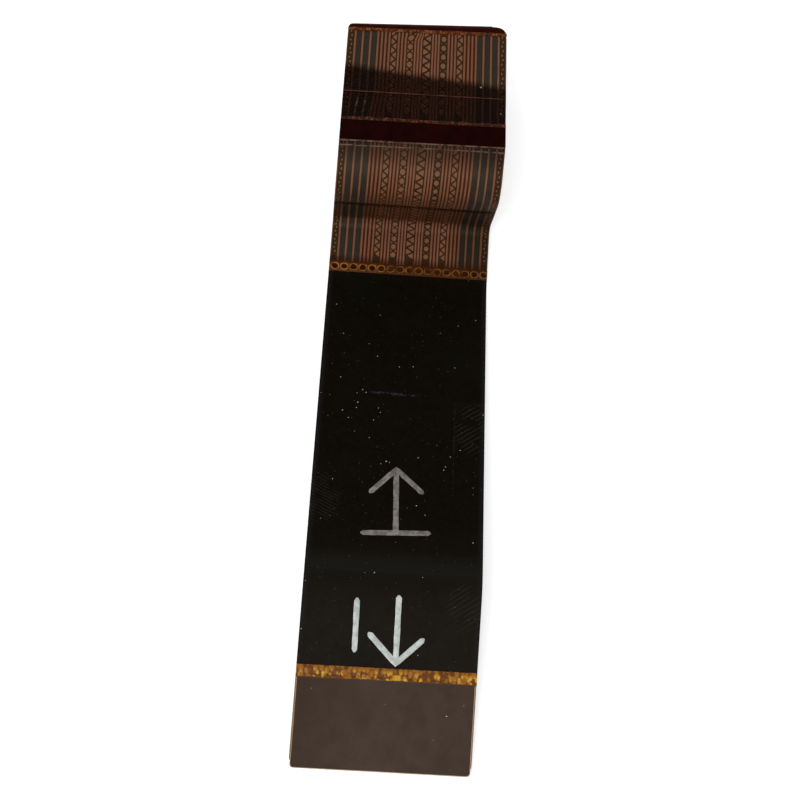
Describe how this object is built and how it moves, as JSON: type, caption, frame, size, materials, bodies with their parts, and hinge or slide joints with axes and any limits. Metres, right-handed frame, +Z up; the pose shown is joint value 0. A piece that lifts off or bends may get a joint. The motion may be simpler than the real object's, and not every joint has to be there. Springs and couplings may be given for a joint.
{
  "type": "flat flex cable",
  "caption": "Flat flexible circuit that joins two boards: plated plug end, black shielded run, a bent step with clear windows over copper tracks, folded tail.",
  "frame": {"origin": "bottom centre of the box around the cable as it lies", "axes": "+Y along the cable from the plated plug end to the folded tail, +X across it to the right, +Z up"},
  "size_m": [0.016, 0.0736, 0.0129],
  "materials": {
    "black_film": "matte black shielding film",
    "base_polyimide": "satin dark amber polyimide",
    "clear_coverlay": "satin clear coverlay",
    "copper": "dulled copper foil",
    "red_film": "dark red film",
    "amber_glue": "rough amber glue",
    "plate": "fine matte grey-brown laminate",
    "plug_moulding": "moulded black plastic",
    "contact_metal": "gold plated"
  },
  "bodies": {
    "root": {"lower_shield_film": "black_film", "base_film": "base_polyimide", "upper_coverlay": "clear_coverlay", "upper_shield_film": "black_film", "stiffener_plate": "plate", "red_cover_strip": "red_film", "red_end_cover": "red_film", "plate_glue_bead": "amber_glue", "film_glue_bead": "amber_glue", "strip_glue_bead": "amber_glue", "end_glue_bead": "amber_glue", "ground_hatch_center": "copper", "left_inner_pair_1": "copper", "right_inner_pair_1": "copper", "left_inner_pair_2": "copper", "right_inner_pair_2": "copper", "left_inner_ground_hatch": "copper", "right_inner_ground_hatch": "copper", "left_outer_pair_1": "copper", "right_outer_pair_1": "copper", "left_outer_pair_2": "copper", "right_outer_pair_2": "copper", "left_outer_ground_hatch": "copper", "right_outer_ground_hatch": "copper", "left_signal_track_1": "copper", "right_signal_track_1": "copper", "left_signal_track_2": "copper", "right_signal_track_2": "copper", "left_signal_track_3": "copper", "right_signal_track_3": "copper", "left_power_track_1": "copper", "right_power_track_1": "copper", "left_power_track_2": "copper", "right_power_track_2": "copper", "left_power_track_3": "copper", "right_power_track_3": "copper", "left_ground_edge": "copper", "right_ground_edge": "copper", "near_plug_housing": "plug_moulding", "near_plug_contacts": "contact_metal", "near_plug_tabs": "contact_metal", "tail_plug_housing": "plug_moulding", "tail_plug_contacts": "contact_metal", "tail_plug_tabs": "contact_metal"}
  },
  "joints": []
}
